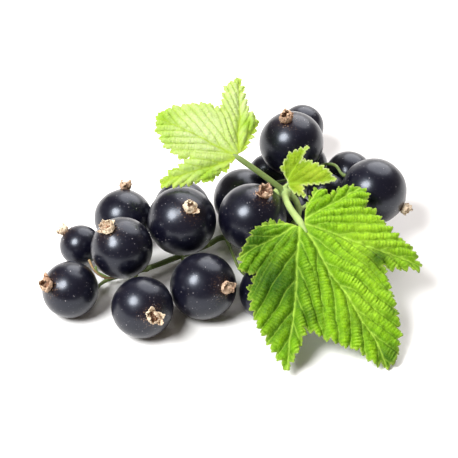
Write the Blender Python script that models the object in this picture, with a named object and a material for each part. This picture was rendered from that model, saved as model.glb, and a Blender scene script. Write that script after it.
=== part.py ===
"""A blackcurrant sprig as picked, lying on a table: a green stem with two strigs, nineteen berries
with their withered crowns, and three leaves. Designed in millimetres, built in metres, +Z up.
The origin is on the table under the middle of the sprig; +X runs along it, +Y runs away from the
large leaf."""

import random
from math import atan2, cos, degrees, exp, hypot, pi, radians, sin, sqrt, tan

import bmesh
import bpy
from mathutils import Matrix, Vector
from mathutils.geometry import delaunay_2d_cdt

# Driving dimensions, all in millimetres and degrees
MM = 0.001
MIDDLE = Vector((0.36, 3.24, 0.0))  # middle of the sprig's footprint in the layout below
BERRY_FLAT = 0.12  # a resting berry is flattened by this much where it stands
BERRY_LENGTH = 0.985  # length of a berry along its own axis, as a share of its width
DIMPLE_DEPTH = 0.2
DIMPLE_WIDTH = 1.0
FIT_GAP = 0.3  # between a berry and its stalk
CROWN_GAP = 0.1  # from the berry's end to the foot of its crown, which stands clear of the dimple

# Each berry: width, x, y, height of its centre (None where it rests on the table), and the way
# its crown points, as a compass angle from +X and a rise
BERRIES = {
    "left_1": (10.0, -27.9, -13.4, None, 212, 36),
    "left_2": (7.5, -26.9, -2.1, 5.4, 154, 34),
    "left_3": (11.0, -18.9, -8.1, 10.0, 206, 67),
    "left_4": (10.8, -19.5, 5.9, None, 86, 45),
    "left_5": (12.3, -8.4, -2.5, 11.5, -63, 58),
    "left_6": (10.6, -8.8, 8.7, None, 100, 10),
    "left_7": (10.8, -15.0, -18.4, None, -65, 23),
    "left_8": (11.8, -4.5, -13.5, None, -42, 27),
    "left_9": (12.3, 4.2, -1.5, 11.5, -14, 69),
    "left_10": (11.4, 2.8, 11.2, None, 100, -5),
    "left_11": (10.5, 7.0, -14.1, None, -50, 5),
    "right_1": (12.0, 11.6, 16.0, 15.0, 215, 78),
    "right_2": (8.4, 14.4, 31.4, 7.6, 90, -10),
    "right_3": (7.7, 7.6, 21.2, None, 100, -15),
    "right_4": (12.3, 26.6, 8.0, 9.9, -24, -18),
    "right_5": (9.2, 23.0, 19.8, None, 28, -12),
    "right_6": (7.5, 18.4, 12.6, 5.8, 96, -25),
    "right_7": (7.8, 15.2, 23.9, None, 88, -20),
    "right_8": (7.4, 12.1, 9.1, None, 250, -8),
}

# Stem routes: points and the stem's radius at each
NODE = (10.3, 3.2, 13.4)
NODE_RADIUS = 1.15
SPUR = [(8.5, 4.5, 12.3, 0.95), (9.3, 3.9, 12.8, 0.9), (10.3, 3.2, 13.4, 0.95)]
LARGE_STALK = [(10.3, 3.2, 13.4, 0.8), (10.1, -0.2, 14.75, 0.62),
               (10.9, -3.4, 15.0, 0.6), (12.35, -6.7, 14.9, 0.68)]
UPPER_STALK = [(10.3, 3.2, 13.4, 0.7), (8.8, 3.5, 14.7, 0.56),
               (5.45, 4.0, 17.4, 0.54), (1.9, 4.5, 20.15, 0.55)]
SMALL_STALK = [(10.3, 3.2, 13.4, 0.6), (10.25, 3.5, 14.75, 0.42)]
LEFT_STRIG = [
    (10.3, 3.2, 13.4, 0.7), (12.1, 2.8, 11.9, 0.6), (12.5, 1.4, 9.4, 0.56), (10.0, 0.8, 6.0, 0.55),
    (6.0, 1.8, 3.6, 0.55), (1.5, 3.2, 2.3, 0.55), (-1.4, 4.4, 1.8, 0.55), (-4.0, 2.4, 1.7, 0.55),
    (-9.0, -0.6, 1.6, 0.55), (-14.4, -3.8, 1.6, 0.5), (-19.0, -5.6, 1.5, 0.45), (-22.3, -7.2, 1.5, 0.42),
]
RIGHT_STRIG = [
    (10.3, 3.2, 13.4, 0.65), (10.9, 6.0, 10.6, 0.5), (12.4, 10.0, 7.9, 0.5), (14.2, 15.0, 7.3, 0.48),
    (14.6, 19.5, 8.2, 0.42), (14.5, 23.8, 8.8, 0.38),
]
# The points that each berry's stalk passes, from the strig; it ends at the berry
STALKS = {
    "left_1": [(-22.0, -7.1, 1.5), (-23.2, -8.9, 1.9)],
    "left_2": [(-21.6, -6.8, 1.5), (-24.0, -5.9, 2.6)],
    "left_3": [(-14.4, -3.8, 1.6), (-15.0, -6.0, 2.8)],
    "left_4": [(-17.0, -4.9, 1.5), (-18.6, -1.0, 1.3)],
    "left_5": [(-8.0, 0.0, 1.65), (-9.3, 0.6, 3.8)],
    "left_6": [(-4.0, 2.4, 1.7), (-6.5, 2.9, 2.9)],
    "left_7": [(-16.6, -4.7, 1.5), (-16.9, -8.0, 2.4), (-17.0, -11.0, 3.2)],
    "left_8": [(-8.6, -0.4, 1.6), (-8.3, -4.0, 2.2), (-9.0, -7.6, 3.1)],
    "left_9": [(0.5, 3.6, 2.1), (0.6, 1.2, 3.2)],
    "left_10": [(6.0, 1.8, 3.6), (5.8, 3.6, 4.4)],
    "left_11": [(-0.5, 4.0, 1.9), (0.2, 0.6, 2.5), (1.8, -6.5, 3.8)],
    "right_1": [(13.6, 13.6, 7.4), (13.3, 15.0, 8.3)],
    "right_2": [(14.5, 23.5, 8.8), (14.4, 25.6, 8.3)],
    "right_3": [(14.0, 14.4, 7.3), (12.6, 16.6, 6.0)],
    "right_4": [(14.2, 15.2, 7.4), (17.3, 15.4, 10.2), (19.6, 12.8, 12.3)],
    "right_5": [(14.0, 14.4, 7.3), (16.8, 16.3, 6.7)],
    "right_6": [(12.4, 1.8, 10.1), (14.5, 3.0, 11.1), (17.2, 6.2, 10.2)],
    "right_7": [(14.5, 18.0, 7.8), (15.2, 18.8, 6.5)],
    "right_8": [(13.9, 14.0, 7.35), (13.9, 14.5, 5.4)],
}
STALK_RADIUS = 0.3
STALK_FOOT = 0.38
STALK_HEAD = 0.42
NECK = 0.9  # the last straight bit of a stalk

# Leaves. The margin is walked once round in the leaf's own plane, from the stalk: along the
# midrib, across to its left, and whether the point is a lobe's tip, a notch or on a side
TIP, NOTCH, SIDE = "tip", "notch", "side"
LARGE_LEAF = {
    "foot": (12.4, -7.0, 15.0),
    "heading": -55,
    "rise": -20,
    "roll": 8,
    "droop": 0.005,
    "thickness": 0.62,
    "tooth": 1.7,
    "grid": 1.25,
    "pleat": 0.6,
    "spacing": 3.9,
    "veins": [(-118, 8.0), (-88, 13.5), (-38, 26.0), (-2, 28.5), (40, 21.5), (93, 13.5), (124, 7.5)],
    "margin": [
        (0.4, -0.7, SIDE), (-1.2, -2.0, SIDE), (-2.9, -4.8, SIDE), (-3.0, -7.5, SIDE), (-0.6, -11.7, SIDE),
        (2.4, -14.0, TIP), (4.4, -12.0, NOTCH), (6.4, -14.8, SIDE), (9.8, -16.1, SIDE), (13.0, -16.6, SIDE),
        (16.2, -16.7, SIDE), (21.1, -16.5, TIP), (19.2, -12.6, SIDE), (16.9, -10.1, NOTCH), (19.5, -8.3, SIDE),
        (21.8, -6.4, SIDE), (24.6, -3.9, SIDE), (27.2, -3.2, SIDE), (29.4, -0.4, TIP), (28.6, 1.5, SIDE),
        (26.2, 3.4, SIDE), (22.9, 5.2, SIDE), (18.3, 6.9, SIDE), (14.2, 8.2, NOTCH), (15.6, 9.8, SIDE),
        (16.5, 12.2, SIDE), (17.3, 14.4, TIP), (14.1, 14.7, SIDE), (10.8, 14.0, SIDE), (7.8, 13.2, SIDE),
        (5.2, 13.1, SIDE), (3.2, 12.0, NOTCH), (0.7, 14.2, TIP), (-1.6, 13.1, SIDE), (-2.2, 10.6, SIDE),
        (-1.9, 7.7, NOTCH), (-4.1, 6.9, TIP), (-3.5, 4.8, SIDE), (-2.0, 2.6, SIDE), (0.4, 0.7, SIDE),
    ],
}
UPPER_LEAF = {
    "foot": (1.8, 4.5, 20.5),
    "heading": 157,
    "rise": 24,
    "roll": -24,
    "droop": 0.012,
    "thickness": 0.6,
    "tooth": 1.5,
    "grid": 1.15,
    "pleat": 0.6,
    "spacing": 3.0,
    "veins": [(-85, 8.0), (-61, 16.0), (3, 16.0), (51, 13.8), (76, 6.5)],
    "margin": [
        (0.4, -0.6, SIDE), (-0.1, -1.7, SIDE), (0.1, -4.0, SIDE), (0.3, -6.8, SIDE), (1.2, -8.6, SIDE),
        (3.1, -9.0, SIDE), (5.9, -12.1, SIDE), (8.1, -14.9, TIP), (9.2, -11.7, SIDE), (8.4, -8.6, SIDE),
        (7.2, -6.3, NOTCH), (10.1, -6.1, SIDE), (12.7, -4.6, SIDE), (15.2, -2.2, SIDE), (16.6, 0.3, TIP),
        (15.4, 2.8, SIDE), (12.6, 4.9, SIDE), (9.4, 5.7, SIDE), (7.3, 5.0, NOTCH), (8.1, 7.4, SIDE),
        (9.0, 9.4, SIDE), (9.2, 11.4, TIP), (7.2, 10.9, SIDE), (5.1, 9.4, SIDE), (3.3, 7.4, SIDE),
        (1.9, 6.6, SIDE), (1.2, 3.9, SIDE), (0.5, 1.9, SIDE), (0.4, 0.6, SIDE),
    ],
}
SMALL_LEAF = {
    "foot": (10.1, 3.6, 15.0),
    "heading": -15,
    "rise": 27,
    "roll": 38,
    "droop": 0.01,
    "thickness": 0.6,
    "tooth": 1.1,
    "grid": 0.85,
    "pleat": 0.25,
    "spacing": 2.0,
    "veins": [(-42, 4.0), (-5, 9.4), (52, 8.0), (88, 4.5)],
    "margin": [
        (0.5, -0.5, SIDE), (1.2, -1.6, SIDE), (3.6, -3.0, TIP), (3.4, -0.8, NOTCH), (5.4, -1.0, SIDE),
        (7.7, -1.3, SIDE), (9.6, -1.1, TIP), (8.7, 0.8, SIDE), (6.9, 2.3, SIDE), (4.5, 3.6, SIDE),
        (3.3, 3.7, NOTCH), (4.9, 6.4, TIP), (1.8, 5.8, SIDE), (0.5, 5.0, SIDE), (-0.4, 3.9, SIDE),
        (-0.4, 2.3, SIDE), (0.5, 0.5, SIDE),
    ],
}
TOOTH_HEIGHT = 0.38  # as a share of the tooth's pitch
TOOTH_LEAN = 0.72  # how far along its pitch a tooth's point stands, towards the lobe's tip
VEIN_ANGLE = radians(33)  # between a rib and its side veins
RIB_DEPTH = 0.3
RIB_WIDTH = 0.55

TUBE_SIDES = 8
STALK_SIDES = 6
BERRY_SIDES = 20
BERRY_RINGS = 10


def clear_scene():
    for item in list(bpy.data.objects):
        bpy.data.objects.remove(item, do_unlink=True)


def make_material(name, colour, roughness):
    material = bpy.data.materials.new(name)
    material.use_nodes = True
    shader = material.node_tree.nodes["Principled BSDF"]
    shader.inputs["Base Color"].default_value = (*colour, 1.0)
    shader.inputs["Roughness"].default_value = roughness
    shader.inputs["Metallic"].default_value = 0.0
    return material


def add_object(name, mesh_builder, material, location=(0.0, 0.0, 0.0)):
    """A new object from a bmesh in millimetres, placed at a layout point."""
    mesh = bpy.data.meshes.new(name)
    bmesh.ops.scale(mesh_builder, vec=(MM, MM, MM), verts=mesh_builder.verts)
    mesh_builder.to_mesh(mesh)
    mesh_builder.free()
    mesh.materials.append(material)
    item = bpy.data.objects.new(name, mesh)
    item.location = (Vector(location) - MIDDLE) * MM
    bpy.context.scene.collection.objects.link(item)
    return item


def pointing(compass, rise):
    """Unit vector from a compass angle and a rise, in degrees."""
    level = cos(radians(rise))
    return Vector((level * cos(radians(compass)), level * sin(radians(compass)), sin(radians(rise))))


def turn_to(axis):
    """Rotation that lays +Z along an axis."""
    return axis.to_track_quat("Z", "Y").to_matrix().to_4x4()


def berry_facts(name):
    """Centre, radius and crown direction of one berry."""
    width, x, y, height, compass, rise = BERRIES[name]
    radius = width / 2
    if height is None:
        height = radius - BERRY_FLAT
    return Vector((x, y, height)), radius, pointing(compass, rise)


def dimpled_height(radius, reach, height):
    """Height of the berry's skin, sunk round its axis at both ends."""
    sink = DIMPLE_DEPTH * exp(-((reach / DIMPLE_WIDTH) ** 2))
    return height * BERRY_LENGTH - (sink if height > 0 else -sink)


def make_berry(name, material):
    """A turned skin, tilted, with a small flat where it rests."""
    centre, radius, axis = berry_facts(name)
    skin = bmesh.new()
    rings = []
    for ring in range(1, BERRY_RINGS):
        slope = pi * ring / BERRY_RINGS
        reach = radius * sin(slope)
        height = dimpled_height(radius, reach, radius * cos(slope))
        turns = [2 * pi * side / BERRY_SIDES for side in range(BERRY_SIDES)]
        rings.append([skin.verts.new((reach * cos(turn), reach * sin(turn), height)) for turn in turns])
    top = skin.verts.new((0, 0, dimpled_height(radius, 0, radius)))
    bottom = skin.verts.new((0, 0, dimpled_height(radius, 0, -radius)))
    for side in range(BERRY_SIDES):
        after = (side + 1) % BERRY_SIDES
        skin.faces.new((top, rings[0][side], rings[0][after]))
        skin.faces.new((bottom, rings[-1][after], rings[-1][side]))
        for upper, lower in zip(rings, rings[1:]):
            skin.faces.new((upper[side], lower[side], lower[after], upper[after]))
    bmesh.ops.transform(skin, matrix=turn_to(axis), verts=skin.verts)
    if BERRIES[name][3] is None:
        cut_flat(skin, -centre.z)
    item = add_object("berry_" + name, skin, material, centre)
    item.data.shade_smooth()
    item.data.set_sharp_from_angle(angle=radians(40))
    return item


def cut_flat(skin, level):
    """Cut a closed skin off level below and cap it."""
    everything = skin.verts[:] + skin.edges[:] + skin.faces[:]
    bmesh.ops.bisect_plane(
        skin, geom=everything, plane_co=(0, 0, level), plane_no=(0, 0, -1), clear_outer=True, dist=1e-4
    )
    rim = [edge for edge in skin.edges if edge.is_boundary]
    bmesh.ops.edgeloop_fill(skin, edges=rim)


def make_crown(name, number, material):
    """The withered flower on a berry's end: a short cup with five ragged, curled sepals."""
    centre, radius, axis = berry_facts(name)
    chance = random.Random(number)
    size = 0.55 + 0.075 * radius
    crown = bmesh.new()
    foot = radius * BERRY_LENGTH + CROWN_GAP
    # each ring: radius at a sepal, radius between sepals, height at a sepal, height between
    profile = [
        (0.95, 0.9, 0.0, 0.0),
        (1.05, 0.9, 0.6, 0.6),
        (1.7, 1.1, 1.9, 1.35),
        (1.2, 0.7, 1.95, 1.25),
        (0.45, 0.4, 0.8, 0.75),
    ]
    sepals = 5
    curls = [chance.uniform(-0.45, 0.35) for _ in range(sepals)]
    turns_off = [chance.uniform(-0.2, 0.2) for _ in range(sepals)]
    rings = []
    for level, (wide, narrow, high, low) in enumerate(profile):
        ring = []
        for point in range(2 * sepals):
            sepal = point // 2
            is_sepal = point % 2 == 0
            curl = curls[sepal] if is_sepal and level in (2, 3) else 0.0
            reach = (wide if is_sepal else narrow) * (1 + 0.6 * curl) * size
            height = (high if is_sepal else low) * (1 - 0.35 * curl) * size
            twist = turns_off[sepal] if is_sepal and level in (2, 3) else 0.0
            turn = pi * point / sepals + twist
            ring.append(crown.verts.new((reach * cos(turn), reach * sin(turn), foot + height)))
        rings.append(ring)
    crown.faces.new(list(reversed(rings[0])))
    crown.faces.new(rings[-1])
    for inner, outer in zip(rings, rings[1:]):
        for point in range(2 * sepals):
            after = (point + 1) % (2 * sepals)
            crown.faces.new((inner[point], inner[after], outer[after], outer[point]))
    bmesh.ops.transform(crown, matrix=turn_to(axis), verts=crown.verts)
    bmesh.ops.triangulate(crown, faces=crown.faces)
    return add_object("crown_" + name, crown, material, centre)


def smooth_route(points, step):
    """Points about a step apart on a smooth curve through given points, each with a radius."""
    route = [Vector(point) for point in points]
    ends = [route[0] * 2 - route[1]] + route + [route[-1] * 2 - route[-2]]
    smooth = []
    for before, start, end, after in zip(ends, ends[1:], ends[2:], ends[3:]):
        pieces = max(1, round((end - start).length / step))
        for piece in range(pieces):
            t = piece / pieces
            smooth.append(
                0.5
                * (
                    2 * start
                    + (end - before) * t
                    + (2 * before - 5 * start + 4 * end - after) * t**2
                    + (3 * start - before - 3 * end + after) * t**3
                )
            )
    smooth.append(route[-1])
    return smooth


def make_tube(name, points, sides, material, step):
    """A closed round stem along a route; the fourth number of each point is the radius."""
    stations = smooth_route(points, step)
    centres = [Vector(station[:3]) for station in stations]
    tube = bmesh.new()
    rings = []
    across = None
    for index, (station, centre) in enumerate(zip(stations, centres)):
        ahead = centres[min(index + 1, len(centres) - 1)] - centres[max(index - 1, 0)]
        ahead.normalize()
        if across is None:
            across = ahead.orthogonal().normalized()
        across = (across - ahead * across.dot(ahead)).normalized()
        beside = ahead.cross(across)
        ring = []
        for side in range(sides):
            turn = 2 * pi * side / sides
            ring.append(tube.verts.new(centre + (across * cos(turn) + beside * sin(turn)) * station[3]))
        rings.append(ring)
    tube.faces.new(list(reversed(rings[0])))
    tube.faces.new(rings[-1])
    for near, far in zip(rings, rings[1:]):
        for side in range(sides):
            after = (side + 1) % sides
            tube.faces.new((near[side], near[after], far[after], far[side]))
    return add_object(name, tube, material)


def make_node_swelling(material):
    """The knot that the leaf stalks and strigs grow from."""
    knot = bmesh.new()
    bmesh.ops.create_icosphere(knot, subdivisions=2, radius=NODE_RADIUS)
    return add_object("knot", knot, material, NODE)


def stalk_route(name):
    """A berry's stalk: thick at its foot and head, ending just clear of the berry's dimple."""
    centre, radius, axis = berry_facts(name)
    reach = radius * BERRY_LENGTH - DIMPLE_DEPTH + FIT_GAP
    head = centre - axis * reach
    neck = centre - axis * (reach + NECK)
    bends = [Vector(point) for point in STALKS[name]]
    route = [(*bends[0], STALK_FOOT)]
    route += [(*bend, STALK_RADIUS) for bend in bends[1:]]
    route += [(*neck, STALK_RADIUS), (*head, STALK_HEAD)]
    return route


def make_stem(material):
    """The whole stem in one body: spur, knot, leaf stalks, strigs and berry stalks."""
    trunk = make_tube("stem", LEFT_STRIG, TUBE_SIDES, material, 2.2)
    branches = [
        make_node_swelling(material),
        make_tube("spur", SPUR, TUBE_SIDES, material, 1.5),
        make_tube("large_stalk", LARGE_STALK, TUBE_SIDES, material, 2.0),
        make_tube("upper_stalk", UPPER_STALK, TUBE_SIDES, material, 2.0),
        make_tube("small_stalk", SMALL_STALK, TUBE_SIDES, material, 2.0),
        make_tube("right_strig", RIGHT_STRIG, TUBE_SIDES, material, 2.2),
    ]
    for name in BERRIES:
        branches.append(make_tube("stalk_" + name, stalk_route(name), STALK_SIDES, material, 1.8))
    grown = bpy.data.collections.new("grown")
    bpy.context.scene.collection.children.link(grown)
    for branch in branches:
        bpy.context.scene.collection.objects.unlink(branch)
        grown.objects.link(branch)
    join = trunk.modifiers.new("join", "BOOLEAN")
    join.operation = "UNION"
    join.operand_type = "COLLECTION"
    join.collection = grown
    join.solver = "EXACT"
    bpy.context.view_layer.update()
    joined = bpy.data.meshes.new_from_object(trunk.evaluated_get(bpy.context.evaluated_depsgraph_get()))
    trunk.modifiers.remove(join)
    trunk.data = joined
    for branch in branches:
        bpy.data.objects.remove(branch, do_unlink=True)
    bpy.data.collections.remove(grown)
    trunk.data.shade_smooth()
    trunk.data.set_sharp_from_angle(angle=radians(50))
    return trunk


def toothed_margin(leaf):
    """The leaf's outline: teeth along each side, leaning to the lobe's tip."""
    anchors = leaf["margin"]
    outline = [Vector(anchors[0][:2])]
    toothless = 1  # the stretches beside the stalk are plain
    stretches = list(zip(anchors, anchors[1:]))
    for index, (start, end) in enumerate(stretches):
        a = Vector(start[:2])
        b = Vector(end[:2])
        run = b - a
        if toothless <= index < len(stretches) - toothless:
            teeth = max(1, round(run.length / leaf["tooth"]))
            pitch = run / teeth
            outward = Vector((run.y, -run.x)).normalized() * pitch.length * TOOTH_HEIGHT
            lean = TOOTH_LEAN if rises_to_tip(anchors, index) else 1 - TOOTH_LEAN
            for tooth in range(teeth):
                outline.append(a + pitch * (tooth + lean) + outward)
                outline.append(a + pitch * (tooth + 1))
        else:
            outline.append(b)
    return outline


def rises_to_tip(anchors, index):
    """Whether the walk round the margin is heading for a lobe's tip here, or leaving one."""
    for anchor in anchors[index + 1 :]:
        if anchor[2] == TIP:
            return True
        if anchor[2] == NOTCH:
            return False
    return False


def inside(outline, point):
    """Whether a point lies inside a closed outline."""
    within = False
    for a, b in zip(outline, outline[1:] + outline[:1]):
        if (a.y > point.y) != (b.y > point.y):
            if point.x < a.x + (point.y - a.y) * (b.x - a.x) / (b.y - a.y):
                within = not within
    return within


def distance_to_line(point, a, b):
    """Distance from a point to the stretch from a to b."""
    run = b - a
    share = max(0.0, min(1.0, (point - a).dot(run) / run.length_squared))
    return (point - a - run * share).length


def vein_lines(leaf):
    """Each rib as its foot and its end, in the leaf's plane."""
    foot = Vector((0.9, 0.0))
    lines = []
    for angle, length in leaf["veins"]:
        lines.append((foot, Vector((length * cos(radians(angle)), length * sin(radians(angle))))))
    return lines


def vein_relief(leaf, point, angle):
    """Height beside one rib: side veins lie in grooves between low pleats."""
    along = point.x * cos(angle) + point.y * sin(angle)
    across = abs(point.y * cos(angle) - point.x * sin(angle))
    phase = (along - across / tan(VEIN_ANGLE)) / leaf["spacing"]
    pleat = 0.5 - 0.5 * cos(2 * pi * phase)
    away = min(1.0, across / (0.35 * leaf["spacing"]))
    return leaf["pleat"] * pleat * away - RIB_DEPTH * exp(-((across / RIB_WIDTH) ** 2))


def leaf_height(leaf, point):
    """Height of the leaf over its plane: droop, ribs and pleats."""
    reach = hypot(point.x, point.y)
    bearing = degrees(atan2(point.y, point.x))
    gaps = sorted((abs(bearing - angle), angle) for angle, _ in leaf["veins"])
    (near_gap, near_angle), (far_gap, far_angle) = gaps[:2]
    nearness = (far_gap - near_gap) / (far_gap + near_gap)
    share = 0.5 + 0.5 * min(1.0, nearness * 4)
    relief = share * vein_relief(leaf, point, radians(near_angle))
    relief += (1 - share) * vein_relief(leaf, point, radians(far_angle))
    settle = min(1.0, reach / 4)
    return -leaf["droop"] * reach**2 + relief * settle


def leaf_grid(leaf, outline, lines):
    """Points inside the outline on an even triangular grid, clear of margin and ribs."""
    step = leaf["grid"]
    rows = step * sqrt(3) / 2
    low = Vector((min(p.x for p in outline), min(p.y for p in outline)))
    high = Vector((max(p.x for p in outline), max(p.y for p in outline)))
    points = []
    for row in range(int((high.y - low.y) / rows) + 1):
        for column in range(int((high.x - low.x) / step) + 1):
            point = Vector((low.x + (column + 0.5 * (row % 2)) * step, low.y + row * rows))
            edge = min(distance_to_line(point, a, b) for a, b in zip(outline, outline[1:] + outline[:1]))
            rib = min(distance_to_line(point, a, b) for a, b in lines)
            if edge > 0.45 * step and rib > 0.45 * step and inside(outline, point):
                points.append(point)
    return points


def leaf_pattern(leaf):
    """Flat points and triangles of a leaf, with edges along its ribs."""
    outline = toothed_margin(leaf)
    lines = vein_lines(leaf)
    points = list(outline)
    edges = []
    for foot, end in lines:
        pieces = max(2, round((end - foot).length / leaf["grid"]))
        first = len(points)
        points += [foot.lerp(end, piece / pieces) for piece in range(pieces + 1)]
        edges += [(first + piece, first + piece + 1) for piece in range(pieces)]
    points += leaf_grid(leaf, outline, lines)
    face = list(range(len(outline)))
    flat, _, triangles, _, _, _ = delaunay_2d_cdt(points, edges, [face], 1, 0.02)
    return flat, triangles


def leaf_frame(leaf):
    """Directions of a leaf's plane: along the midrib, to its left, and off its upper face."""
    along = pointing(leaf["heading"], leaf["rise"])
    level = Vector((-sin(radians(leaf["heading"])), cos(radians(leaf["heading"])), 0.0))
    left = Matrix.Rotation(radians(leaf["roll"]), 3, along) @ level
    return along, left, along.cross(left)


def make_leaf(name, leaf, material):
    """A thin, pleated, toothed blade, split into the same triangles on both faces."""
    flat, triangles = leaf_pattern(leaf)
    along, left, off = leaf_frame(leaf)
    middle = [along * p.x + left * p.y + off * leaf_height(leaf, p) for p in flat]
    normals = [Vector() for _ in middle]
    for a, b, c in triangles:
        facing = (middle[b] - middle[a]).cross(middle[c] - middle[a])
        for corner in (a, b, c):
            normals[corner] += facing
    half = leaf["thickness"] / 2
    blade = bmesh.new()
    upper = [blade.verts.new(p + n.normalized() * half) for p, n in zip(middle, normals)]
    lower = [blade.verts.new(p - n.normalized() * half) for p, n in zip(middle, normals)]
    for a, b, c in triangles:
        blade.faces.new((upper[a], upper[b], upper[c]))
        blade.faces.new((lower[c], lower[b], lower[a]))
    used = {}
    for a, b, c in triangles:
        for edge in ((a, b), (b, c), (c, a)):
            used[edge] = True
    for a, b in used:
        if (b, a) not in used:
            blade.faces.new((upper[b], upper[a], lower[a]))
            blade.faces.new((upper[b], lower[a], lower[b]))
    loose = [vert for vert in blade.verts if not vert.link_faces]
    bmesh.ops.delete(blade, geom=loose, context="VERTS")
    item = add_object(name, blade, material, leaf["foot"])
    item.data.shade_smooth()
    item.data.set_sharp_from_angle(angle=radians(50))
    return item


def build():
    clear_scene()
    skin = make_material("berry skin", (0.012, 0.010, 0.022), 0.3)
    husk = make_material("dry crown", (0.50, 0.30, 0.16), 0.85)
    stem_green = make_material("green stem", (0.30, 0.45, 0.12), 0.5)
    leaf_green = make_material("leaf green", (0.16, 0.42, 0.02), 0.45)
    young_green = make_material("young leaf green", (0.48, 0.66, 0.14), 0.5)
    for number, name in enumerate(BERRIES):
        make_berry(name, skin)
        make_crown(name, number, husk)
    make_stem(stem_green)
    make_leaf("leaf_large", LARGE_LEAF, leaf_green)
    make_leaf("leaf_upper", UPPER_LEAF, young_green)
    make_leaf("leaf_small", SMALL_LEAF, young_green)


build()
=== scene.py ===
"""The looks of a blackcurrant sprig as picked: waxy dark berries with withered flowers on their
ends, on soft green stalks, with three wrinkled, toothed leaves. Shapes are worked out in
millimetres, most of them in the sprig's own layout, and placed in metres."""

import random
from math import cos, pi, radians, sin, tan

import bmesh
import bpy
import numpy as np
from mathutils import Matrix, Vector, noise
from mathutils.geometry import delaunay_2d_cdt
from mathutils.kdtree import KDTree

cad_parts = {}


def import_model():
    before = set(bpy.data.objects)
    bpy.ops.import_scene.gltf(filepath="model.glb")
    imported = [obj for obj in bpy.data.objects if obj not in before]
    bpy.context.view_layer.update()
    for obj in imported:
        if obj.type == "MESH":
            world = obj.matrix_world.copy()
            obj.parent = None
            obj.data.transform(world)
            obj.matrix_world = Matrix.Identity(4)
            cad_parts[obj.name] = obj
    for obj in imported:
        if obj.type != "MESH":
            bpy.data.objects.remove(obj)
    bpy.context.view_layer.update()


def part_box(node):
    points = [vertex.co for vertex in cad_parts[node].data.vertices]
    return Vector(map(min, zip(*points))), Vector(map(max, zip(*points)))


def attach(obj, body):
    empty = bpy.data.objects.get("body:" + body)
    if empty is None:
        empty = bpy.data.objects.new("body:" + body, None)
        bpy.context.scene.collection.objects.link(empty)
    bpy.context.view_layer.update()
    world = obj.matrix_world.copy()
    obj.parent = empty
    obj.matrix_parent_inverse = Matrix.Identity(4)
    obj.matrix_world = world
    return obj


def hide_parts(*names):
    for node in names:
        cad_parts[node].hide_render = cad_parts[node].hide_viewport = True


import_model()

# Sizes in millimetres and angles in degrees, as the solids have them
MM = 0.001
MIDDLE = Vector((0.36, 3.24, 0.0))  # middle of the sprig's footprint in its layout
BERRY_FLAT = 0.12  # a resting berry is flattened by this much where it stands
BERRY_LENGTH = 0.985  # length of a berry along its own axis, as a share of its width
DIMPLE_DEPTH = 0.2
COLLAR_REACH = 1.25  # how far out the low ring round a withered flower stands
COLLAR_WIDTH = 0.45
RUST_REACH = 1.7  # how far out the skin is rusty round a withered flower
NECK = 0.9  # the last straight bit of a stalk
STALK_SINK = 0.35  # how far a stalk's head is sunk in its berry
HUSK_SINK = 0.3  # how far a withered flower's foot is sunk in its berry

# Each berry: width, and the way its crown points, as a compass angle from +X and a rise
BERRIES = {
    "left_1": (10.0, 212, 36),
    "left_2": (7.5, 154, 34),
    "left_3": (11.0, 206, 67),
    "left_4": (10.8, 86, 45),
    "left_5": (12.3, -63, 58),
    "left_6": (10.6, 100, 10),
    "left_7": (10.8, -65, 23),
    "left_8": (11.8, -42, 27),
    "left_9": (12.3, -14, 69),
    "left_10": (11.4, 100, -5),
    "left_11": (10.5, -50, 5),
    "right_1": (12.0, 215, 78),
    "right_2": (8.4, 90, -10),
    "right_3": (7.7, 100, -15),
    "right_4": (12.3, -24, -18),
    "right_5": (9.2, 28, -12),
    "right_6": (7.5, 96, -25),
    "right_7": (7.8, 88, -20),
    "right_8": (7.4, 250, -8),
}
# Berries whose withered flower is straw-coloured, where the others are browner
PALE_HUSKS = ("left_2", "left_3", "left_5", "left_7", "right_4")

# Stem routes in the layout: points and the stem's radius at each
NODE = (10.3, 3.2, 13.4)  # where the leaf stalks and the strigs meet
NODE_RADIUS = 1.15
SPUR = [(8.5, 4.5, 12.3, 0.95), (9.3, 3.9, 12.8, 0.9), (*NODE, 0.95)]
LARGE_STALK = [
    (*NODE, 0.8), (10.1, -0.2, 14.75, 0.62), (10.9, -3.4, 15.0, 0.6),
    (12.35, -6.7, 14.9, 0.66), (12.9, -7.7, 14.6, 0.45), (13.6, -8.8, 14.1, 0.22),
]
UPPER_STALK = [
    (*NODE, 0.7), (8.8, 3.5, 14.7, 0.56), (5.45, 4.0, 17.4, 0.54),
    (1.9, 4.5, 20.15, 0.52), (0.6, 5.0, 20.8, 0.2),
]
SMALL_STALK = [(*NODE, 0.6), (10.25, 3.5, 14.75, 0.42), (10.8, 3.4, 15.3, 0.2)]
LEFT_STRIG = [
    (*NODE, 0.7), (12.1, 2.8, 11.9, 0.6), (12.5, 1.4, 9.4, 0.56), (10.0, 0.8, 6.0, 0.55),
    (6.0, 1.8, 3.6, 0.55), (1.5, 3.2, 2.3, 0.55), (-1.4, 4.4, 1.8, 0.55), (-4.0, 2.4, 1.7, 0.55),
    (-9.0, -0.6, 1.6, 0.55), (-14.4, -3.8, 1.6, 0.5), (-19.0, -5.6, 1.5, 0.45), (-22.3, -7.2, 1.5, 0.42),
]
RIGHT_STRIG = [
    (*NODE, 0.65), (10.9, 6.0, 10.6, 0.5), (12.4, 10.0, 7.9, 0.5), (14.2, 15.0, 7.3, 0.48),
    (14.6, 19.5, 8.2, 0.42), (14.5, 23.8, 8.8, 0.38),
]
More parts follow.
